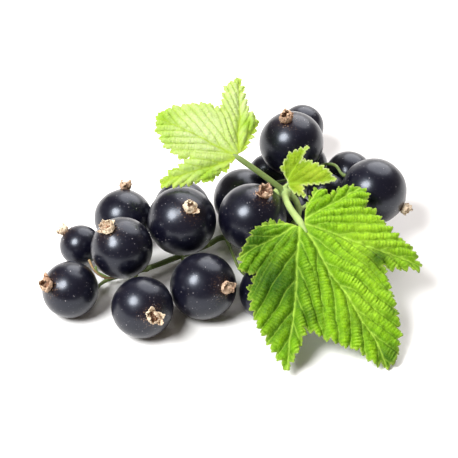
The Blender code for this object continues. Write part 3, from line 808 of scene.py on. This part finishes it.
def make_husks(tree, material):
    """A withered flower for each berry, each its own."""
    for number, name in enumerate(BERRIES):
        centre, radius, axis = berry_place(name)
        chance = random.Random(number)
        size = 0.55 + 0.075 * radius  # a larger berry has a somewhat larger flower
        husk = grow(tree, bpy.data.meshes.new("husk_" + name), {
            "Sepals": 8,
            "Sepal Length": 1.75 * size,
            "Sepal Width": 1.3 * size,
            "Cup Radius": 0.72 * size,
            "Tilt": chance.uniform(0.85, 1.1),
            "Curl": chance.uniform(-2.3, -1.5),
            "Crumple": 1.5,
            "Thickness": 0.09,
            "Threads": 22,
            "Thread Length": 1.25 * size,
            "Paleness": 0.65 if name in PALE_HUSKS else 0.1,
            "Seed": number + 1,
            "Material": material,
        })
        foot = centre + axis * (radius * BERRY_LENGTH - HUSK_SINK) * MM
        husk.transform(placed(foot, axis))
        finish_piece("husk_" + name, husk, ["crown_" + name])


# Stalks
def smooth_route(points, step):
    """Points about a step apart on a smooth curve through given points, each with a radius."""
    route = [Vector(point) for point in points]
    ends = [route[0] * 2 - route[1]] + route + [route[-1] * 2 - route[-2]]
    smooth = []
    for before, start, end, after in zip(ends, ends[1:], ends[2:], ends[3:]):
        pieces = max(1, round((end - start).length / step))
        for piece in range(pieces):
            t = piece / pieces
            smooth.append(
                0.5
                * (
                    2 * start
                    + (end - before) * t
                    + (2 * before - 5 * start + 4 * end - after) * t**2
                    + (3 * start - before - 3 * end + after) * t**3
                )
            )
    smooth.append(route[-1])
    return smooth


def stalk_route(name):
    """A berry's stalk: thick at its foot and head, ending in the berry's dimple."""
    centre, radius, axis = berry_place(name)
    centre = centre / MM + MIDDLE
    reach = radius * BERRY_LENGTH - DIMPLE_DEPTH
    bends = [Vector(point) for point in STALKS[name]]
    route = [(*bends[0], STALK_FOOT)]
    route += [(*bend, STALK_RADIUS) for bend in bends[1:]]
    route += [(*(centre - axis * (reach + NECK)), STALK_RADIUS), (*(centre - axis * reach), STALK_HEAD)]
    route += [(*(centre - axis * (reach - STALK_SINK)), STALK_HEAD)]
    return route


def make_stem_tree():
    """Round stalks along curves, as thick as each curve's radius."""
    tree, wiring, given, result = geometry_tree("stalks", {
        "Routes": "Geometry",
        "Sides": "Int",
        "Step": "Float",
        "Material": "Material",
    })
    spaced = {"Curve": given["Routes"], "Length": given["Step"]}
    even = wiring.shape("ResampleCurve", spaced, mode="LENGTH")
    ring = wiring.shape("CurvePrimitiveCircle", {"Resolution": given["Sides"], "Radius": 1.0})
    skin = wiring.shape("CurveToMesh", {
        "Curve": even,
        "Profile Curve": ring,
        "Scale": wiring.shape("InputRadius"),
        "Fill Caps": True,
    })
    finish_tree(wiring, result, skin, given["Material"])
    return tree


def draw_routes():
    """Every stalk as a curve, and how old it is along its way: 0 fresh, 1 olive, 2 dry."""
    routes = [
        (SPUR, 0.0, 0.0),
        (LARGE_STALK, 0.1, 0.1),
        (UPPER_STALK, 0.75, 0.6),
        (SMALL_STALK, 0.1, 0.1),
        (LEFT_STRIG, 0.1, 1.0),
        (RIGHT_STRIG, 0.1, 0.9),
        (DRY_STALK, 1.0, 2.0),
    ]
    routes += [(stalk_route(name), 0.15 if name == "right_6" else 0.7, 0.8) for name in BERRIES]
    lines = bpy.data.curves.new("routes", "CURVE")
    lines.dimensions = "3D"
    ages = []
    for points, start_age, end_age in routes:
        stations = smooth_route(points, ROUTE_STEP)
        spline = lines.splines.new("POLY")
        spline.points.add(len(stations) - 1)
        for number, (point, station) in enumerate(zip(spline.points, stations)):
            point.co = (*station[:3], 1.0)
            point.radius = station[3]
            share = min(1.0, 3 * number / (len(stations) - 1))
            ages.append((Vector(station[:3]), start_age + (end_age - start_age) * share**2))
    return lines, ages


def add_ball(mesh, centre, radius):
    """Adds a round swelling to a mesh."""
    both = bmesh.new()
    both.from_mesh(mesh)
    place = Matrix.Translation(centre)
    bmesh.ops.create_icosphere(both, subdivisions=3, radius=radius, matrix=place)
    both.to_mesh(mesh)
    both.free()


def make_stalks(tree, material):
    """All stalks grown together in one skin, coloured by their age."""
    lines, ages = draw_routes()
    tubes = grow(tree, lines, {"Sides": TUBE_SIDES, "Step": TUBE_STEP, "Material": material})
    add_ball(tubes, NODE, NODE_RADIUS)
    holder = add_object("tubes", tubes)
    fuse = holder.modifiers.new("fuse", "REMESH")
    fuse.mode = "VOXEL"
    fuse.voxel_size = FUSE_GRAIN
    soften = holder.modifiers.new("soften", "SMOOTH")
    soften.factor = 0.5
    soften.iterations = 5
    skin = finished_mesh(holder)
    nearest = KDTree(len(ages))
    for number, (spot, _) in enumerate(ages):
        nearest.insert(spot, number)
    nearest.balance()
    values = [ages[nearest.find(vertex.co)[1]][1] for vertex in skin.vertices]
    skin.attributes.new("age", "FLOAT", "POINT").data.foreach_set("value", values)
    skin.transform(Matrix.Scale(MM, 4) @ Matrix.Translation(-MIDDLE))
    skin.materials.clear()
    skin.materials.append(material)
    skin.shade_smooth()
    finish_piece("stalks", skin, ["stem"])


# Leaves
def rises_to_tip(anchors, index):
    """Whether the walk round the margin is heading for a lobe's tip here, or leaving one."""
    for anchor in anchors[index + 1 :]:
        if TIP in anchor:
            return True
        if NOTCH in anchor:
            return False
    return False


def tooth_profile(share):
    """Height of a tooth along its pitch, leaning to the far end."""
    if share < TOOTH_LEAN:
        return (share / TOOTH_LEAN) ** 0.8
    return ((1 - share) / (1 - TOOTH_LEAN)) ** 0.9


def leaf_outline(leaf):
    """The leaf's outline with curved teeth along each side, leaning to the lobe's tip."""
    anchors = leaf["margin"]
    chance = random.Random(leaf["seed"])
    outline = [Vector(anchors[0][:2])]
    stretches = list(zip(anchors, anchors[1:]))
    for index, (start, end) in enumerate(stretches):
        a = Vector(start[:2])
        run = Vector(end[:2]) - a
        toothless = index in (0, len(stretches) - 1)
        teeth = max(1, round(run.length / leaf["tooth"]))
        outward = Vector((run.y, -run.x)).normalized()
        rising = rises_to_tip(anchors, index)
        for tooth in range(teeth):
            height = 0.0
            if not toothless:
                height = run.length / teeth * TOOTH_HEIGHT * chance.uniform(*TOOTH_SPREAD)
            for step in range(1, TOOTH_STEPS + 1):
                share = step / TOOTH_STEPS
                lean = share if rising else 1 - share
                profile = tooth_profile(lean) + SMALL_TOOTH * tooth_profile(2 * lean % 1)
                out = outward * height * (profile - TOOTH_SET_BACK)
                outline.append(a + run * ((tooth + share) / teeth) + out)
    return np.array([tuple(point) for point in outline])


def edge_distance(points, outline):
    """Distance of each point from the outline, and whether it lies inside."""
    a = outline
    b = np.roll(outline, -1, axis=0)
    run = b - a
    squared = np.maximum((run**2).sum(1), 1e-12)
    nearest = np.empty(len(points))
    within = np.empty(len(points), bool)
    batch = 2000
    for start in range(0, len(points), batch):
        some = points[start : start + batch]
        off = some[:, None, :] - a[None]
        share = np.clip((off * run).sum(2) / squared, 0, 1)
        gap = off - run * share[..., None]
        nearest[start : start + batch] = np.sqrt((gap**2).sum(2).min(1))
        crosses = (a[:, 1] > some[:, None, 1]) != (b[:, 1] > some[:, None, 1])
        rise = np.where(np.abs(run[:, 1]) < 1e-12, 1e-12, run[:, 1])
        where = a[:, 0] + (some[:, None, 1] - a[:, 1]) / rise * run[:, 0]
        within[start : start + batch] = (crosses & (some[:, None, 0] < where)).sum(1) % 2 == 1
    return nearest, within


def even_grid(outline, step):
    """Points on an even triangular grid inside the outline, clear of it."""
    low, high = outline.min(0), outline.max(0)
    rows = np.arange(low[1], high[1], step * GRID_ROWS)
    columns = np.arange(low[0], high[0], step)
    points = [np.column_stack([columns + 0.5 * step * (row % 2), np.full(len(columns), y)])
              for row, y in enumerate(rows)]
    points = np.concatenate(points)
    gap, within = edge_distance(points, outline)
    return points[within & (gap > 0.45 * step)]


def noise_field(points, size, seed):
    """Smooth noise of about -1 to 1 with patches of a size in millimetres."""
    return np.array([noise.noise(Vector((x / size, y / size, seed))) for x, y in points])


def patch_field(points, patches):
    """Soft patches in the leaf's plane, each a place, a size and a strength."""
    field = np.zeros(len(points))
    for x, y, size, strength in patches:
        away = ((points[:, 0] - x) ** 2 + (points[:, 1] - y) ** 2) / size**2
        field = np.maximum(field, strength * np.exp(-away))
    return field


def rib_fields(leaf, points, ribs, stray, jitter):
    """Fields that follow one rib for each point, given by its number, with two kinds of waver."""
    angles, lengths, spacing = np.array(leaf["veins"])[ribs].T
    angles = np.radians(angles)
    x, y = points.T
    along = x * np.cos(angles) + y * np.sin(angles)
    signed = y * np.cos(angles) - x * np.sin(angles)
    across = np.abs(signed)
    # The phase counts the side veins, which leave the rib at an angle
    phase = (along - across / tan(VEIN_ANGLE)) / spacing + VEIN_STAGGER * (signed > 0) + 0.2 * stray
    between = np.abs(np.sin(pi * phase))
    away = np.clip(across / (0.3 * spacing), 0, 1)
    side_gap = np.abs(phase - np.round(phase)) * spacing * sin(VEIN_ANGLE)
    taper = np.clip(1.1 - along / lengths, 0.15, 1.0)
    girth = 0.13 + 0.17 * taper
    rib = np.exp(-((across / girth) ** 2)) * (along > 0)
    grown = np.clip(phase * 4 + 2, 0, 1) * np.clip(1.4 - across / (2.6 * spacing), 0.35, 1)
    side_vein = np.exp(-((side_gap / SIDE_VEIN_WIDTH) ** 2)) * grown
    forward = along * cos(VEIN_ANGLE) + across * sin(VEIN_ANGLE)
    # Fine cross wrinkles between two side veins, from a start of their own
    cell = np.floor(phase) + 17.0 * ribs + 5.0 * (signed > 0)
    start = np.modf(np.abs(np.sin(cell * 12.9898) * 43758.5453))[0]
    rungs = forward / LADDER_PITCH + start + 0.4 * jitter - 0.3 * between
    ladder = np.cos(2 * pi * rungs) * between * (0.7 + 0.8 * stray)
    return {
        "relief": leaf["pleat"] * (1 + 0.35 * stray) * between**0.8 * away
        - RIB_DEPTH * np.exp(-((across / RIB_WIDTH) ** 2)) * taper,
        # How lit the pleat is: for painted light on crests and painted shade in hollows and by the ribs
        "lit_crest": (0.4 + 0.6 * between**1.5) * (0.55 + 0.45 * away) * (1 + 0.5 * jitter),
        "vein": np.maximum(0.85 * rib, 0.6 * side_vein),
        # Where painted shade lies beside the ribs and side veins
        "flank_shade": np.maximum(np.exp(-(((across - 2.2 * girth) / (1.1 * girth)) ** 2)) * (along > 0),
                            np.exp(-(((side_gap - 0.36) / 0.17) ** 2)) * grown),
        "rib": np.exp(-((across / (girth * 1.2)) ** 2)) * (along > 0) * taper + 0.35 * side_vein,
        "ladder": ladder * away,
    }


def leaf_fields(leaf, flat):
    """All that follows the ribs at points of the leaf's plane, mixed where two ribs' parts meet."""
    seed = leaf["seed"]
    warp = np.column_stack([noise_field(flat, 7.0, seed), noise_field(flat, 7.0, seed + 40)])
    fade = np.clip(np.hypot(flat[:, 0], flat[:, 1]) / 6, 0, 1)[:, None]
    points = flat + VEIN_STRAY * warp * fade
    bearing = np.degrees(np.arctan2(points[:, 1], points[:, 0]))
    angles = np.array([vein[0] for vein in leaf["veins"]])
    gaps = np.abs(bearing[:, None] - angles[None])
    order = np.argsort(gaps, axis=1)
    rows = np.arange(len(points))
    near_gap = gaps[rows, order[:, 0]]
    far_gap = gaps[rows, order[:, 1]]
    share = 0.5 + 0.5 * np.minimum(1.0, 4 * (far_gap - near_gap) / (far_gap + near_gap))
    stray = noise_field(flat, 4.5, seed + 17)
    jitter = noise_field(flat, 1.3, seed + 29)
    near = rib_fields(leaf, points, order[:, 0], stray, jitter)
    far = rib_fields(leaf, points, order[:, 1], stray, jitter)
    return {name: share * near[name] + (1 - share) * far[name] for name in near}


def leaf_heights(leaf, flat, fields, edge):
    """Height of the blade's middle over its plane."""
    reach = np.hypot(flat[:, 0], flat[:, 1])
    settle = np.minimum(1.0, reach / 4)
    ripple = 0.35 * noise_field(flat, 5.0, leaf["seed"] + 7)
    ripple += leaf["crinkle"] * noise_field(flat, 1.1, leaf["seed"] + 9)
    ripple += 0.5 * leaf["crinkle"] * noise_field(flat, 0.55, leaf["seed"] + 13)
    relief = fields["relief"] + ripple + leaf["rungs"] * fields["ladder"]
    height = -leaf["droop"] * reach**2 + relief * settle
    return height - RIM_DROP * np.exp(-((edge / RIM_WIDTH) ** 2)) * settle


def surface_normals(places, triangles):
    """Average direction of the faces round each point."""
    facing = np.cross(places[triangles[:, 1]] - places[triangles[:, 0]],
                      places[triangles[:, 2]] - places[triangles[:, 0]])
    normals = np.zeros_like(places)
    for corner in range(3):
        np.add.at(normals, triangles[:, corner], facing)
    return normals / np.maximum(np.linalg.norm(normals, axis=1), 1e-12)[:, None]


def blade_faces(leaf, outline):
    """The leaf's plane as points and triangles, inside its outline."""
    points = np.concatenate([outline, even_grid(outline, leaf["grid"])])
    flat, _, triangles, _, _, _ = delaunay_2d_cdt(
        [Vector(point) for point in points], [], [list(range(len(outline)))], 1, 1e-4
    )
    flat = np.array([tuple(point) for point in flat])
    triangles = np.array(triangles)
    used = np.unique(triangles)
    renumber = np.zeros(len(flat), int)
    renumber[used] = np.arange(len(used))
    return flat[used], renumber[triangles]


def held_out(leaf, flat, height):
    """Places in the layout of points of the leaf's plane, at heights over it."""
    along = pointing(leaf["heading"], leaf["rise"])
    level = Vector((-sin(radians(leaf["heading"])), cos(radians(leaf["heading"])), 0.0))
    left = Matrix.Rotation(radians(leaf["roll"]), 3, along) @ level
    off = along.cross(left)
    middle = np.outer(flat[:, 0], along) + np.outer(flat[:, 1], left) + np.outer(height, off)
    return middle + np.array(leaf["foot"])


def close_skin(triangles, count):
    """Faces of the upper and the lower side, and those that join them round the rim."""
    directed = np.concatenate([triangles[:, [0, 1]], triangles[:, [1, 2]], triangles[:, [2, 0]]])
    keys = set(map(tuple, directed.tolist()))
    rim = sorted((a, b) for a, b in keys if (b, a) not in keys)
    faces = triangles.tolist() + (triangles[:, ::-1] + count).tolist()
    return faces + [(b, a, a + count, b + count) for a, b in rim]


def write_fields(mesh, leaf, flat, fields, edge):
    """What the finish reads: numbers at each point, and the leaf's plane as a UV map."""
    written = {
        "vein": np.concatenate([fields["vein"], 0.8 * fields["vein"]]),
        "lit_crest": np.tile(fields["lit_crest"], 2),
        "flank_shade": np.tile(fields["flank_shade"], 2),
        "ladder": np.tile(np.clip(fields["ladder"], -1, 1), 2),
        "rim": np.tile(np.exp(-((edge / TINTED_RIM) ** 2)) * leaf["edging"], 2),
        # Soft patches of painted shade, then of painted light
        "painted_shade": np.tile(patch_field(flat, leaf["painted_shade"]), 2),
        "light": np.tile(patch_field(flat, leaf["light"]), 2),
        "under": np.repeat([0.0, 0.85], len(flat)),
    }
    for field, values in written.items():
        attribute = mesh.attributes.new(field, "FLOAT", "POINT")
        attribute.data.foreach_set("value", values.astype(np.float32))
    corners = np.zeros(len(mesh.loops), int)
    mesh.loops.foreach_get("vertex_index", corners)
    spread = np.tile(flat, (2, 1))[corners] / UV_SPAN + 0.5
    mesh.uv_layers.new(name="plane").data.foreach_set("uv", spread.astype(np.float32).ravel())


def make_blade(name, leaf, material):
    """A thin, pleated, toothed blade with its veins, as one closed skin."""
    outline = leaf_outline(leaf)
    flat, triangles = blade_faces(leaf, outline)
    edge, _ = edge_distance(flat, outline)
    fields = leaf_fields(leaf, flat)
    middle = held_out(leaf, flat, leaf_heights(leaf, flat, fields, edge))
    normals = surface_normals(middle, triangles)
    half = 0.5 * (RIM_THICKNESS + (BLADE_THICKNESS - RIM_THICKNESS) * np.clip(edge / RIM_WIDTH, 0, 1))
    under_rib = UNDER_RIB * fields["rib"] * np.clip(edge, 0, 1)
    upper = middle + normals * half[:, None]
    lower = middle - normals * (half + under_rib)[:, None]
    places = (np.concatenate([upper, lower]) - np.array(MIDDLE)) * MM
    mesh = bpy.data.meshes.new(name)
    mesh.from_pydata(places.tolist(), [], close_skin(triangles, len(flat)))
    mesh.shade_smooth()
    write_fields(mesh, leaf, flat, fields, edge)
    mesh.materials.append(material)
    finish_piece("blade_" + name, mesh, ["leaf_" + name])


# The table, lights and camera
def make_floor():
    """A plain white table, a hair below the sprig."""
    mesh = bpy.data.meshes.new("table")
    size = 3.0
    level = -0.01 * MM
    corners = [(-size, -size, level), (size, -size, level), (size, size, level), (-size, size, level)]
    mesh.from_pydata(corners, [], [(0, 1, 2, 3)])
    material, _, _ = new_material("white table", {
        "Base Color": colour(0.93, 0.915, 0.895),
        "Roughness": 0.9,
        "Specular IOR Level": 0.1,
    })
    mesh.materials.append(material)
    floor = add_object("table", mesh)


def add_softbox(name, direction, distance, size, power, tint):
    """A round light that faces the sprig from a direction."""
    light = bpy.data.lights.new(name, "AREA")
    light.shape = "DISK"
    light.size = size
    light.energy = power
    light.color = tint
    lamp = add_object(name, light)
    direction = Vector(direction).normalized()
    lamp.location = direction * distance
    lamp.rotation_mode = "QUATERNION"
    lamp.rotation_quaternion = direction.to_track_quat("Z", "Y")


def set_surroundings():
    """Soft studio light: a warm dim room, a key from the left front and two soft lights behind."""
    world = bpy.data.worlds.new("studio")
    world.use_nodes = True
    backdrop = world.node_tree.nodes["Background"].inputs
    backdrop["Color"].default_value = colour(1.0, 0.82, 0.66)
    backdrop["Strength"].default_value = 0.16
    scene = bpy.context.scene
    scene.world = world
    scene.view_settings.view_transform = "Standard"
    add_softbox("key", (-0.49, -0.374, 0.784), 0.6, 0.3, 6.2, (0.97, 0.985, 1.0))
    add_softbox("window", (0.276, 0.658, 0.709), 0.9, 1.0, 9.0, (0.98, 0.97, 1.0))
    add_softbox("backdrop", (0.1, 0.98, 0.25), 0.7, 0.9, 2.2, (1.0, 0.99, 0.97))


def set_camera():
    """Looks along +Y, 40 degrees down."""
    distance = 0.3
    elevation = radians(40)
    aim = (Vector((0.0, 9.0, 0.0)) - MIDDLE) * MM
    camera = bpy.data.cameras.new("view")
    camera.lens = 125.0
    camera.sensor_width = 36.0
    camera.clip_start = 0.01
    camera.clip_end = 10.0
    eye = add_object("view", camera)
    back = Vector((0.0, -cos(elevation), sin(elevation)))
    eye.location = aim + back * distance
    eye.rotation_mode = "QUATERNION"
    eye.rotation_quaternion = back.to_track_quat("Z", "Y")
    bpy.context.scene.camera = eye


set_camera()
set_surroundings()
make_floor()
make_berries(make_fruit_tree(), make_berry_skin())
make_husks(make_husk_tree(), make_husk_finish())
make_stalks(make_stem_tree(), make_stem_finish())
# Each leaf's tints: its own greens, patches, veins, rim and underside, and colours for painted light on
# crests and lit patches and for painted shade in hollows, beside veins and in shaded patches
make_blade("large", LARGE_LEAF, make_leaf_finish("leaf", {
    "hollow_shade": colour(0.022, 0.12, 0.0),
    "lit_crest": colour(0.25, 0.49, 0.002),
    "patch": colour(0.11, 0.33, 0.0),
    "painted_shade": colour(0.008, 0.045, 0.0),
    "light": colour(0.43, 0.68, 0.03),
    "vein": colour(0.46, 0.7, 0.08),
    "rim": colour(0.38, 0.46, 0.08),
    "under": colour(0.2, 0.32, 0.08),
    "rungs": 0.75,
    "flank_shade": 0.15,
    "glow": 0.08,
}))
make_blade("upper", UPPER_LEAF, make_leaf_finish("young leaf", {
    "hollow_shade": colour(0.31, 0.49, 0.008),
    "lit_crest": colour(0.455, 0.55, 0.2),
    "patch": colour(0.32, 0.465, 0.045),
    "painted_shade": colour(0.19, 0.38, 0.0),
    "light": colour(0.56, 0.625, 0.37),
    "vein": colour(0.36, 0.5, 0.03),
    "rim": colour(0.43, 0.51, 0.09),
    "under": colour(0.36, 0.48, 0.16),
    "rungs": 0.25,
    "flank_shade": 0.0,
    "glow": 0.2,
}))
make_blade("small", SMALL_LEAF, make_leaf_finish("fresh leaf", {
    "hollow_shade": colour(0.13, 0.23, 0.0),
    "lit_crest": colour(0.25, 0.37, 0.012),
    "patch": colour(0.19, 0.31, 0.002),
    "painted_shade": colour(0.07, 0.12, 0.004),
    "light": colour(0.56, 0.64, 0.07),
    "vein": colour(0.34, 0.52, 0.03),
    "rim": colour(0.64, 0.68, 0.34),
    "under": colour(0.3, 0.42, 0.1),
    "rungs": 0.2,
    "flank_shade": 0.08,
    "glow": 0.15,
}))
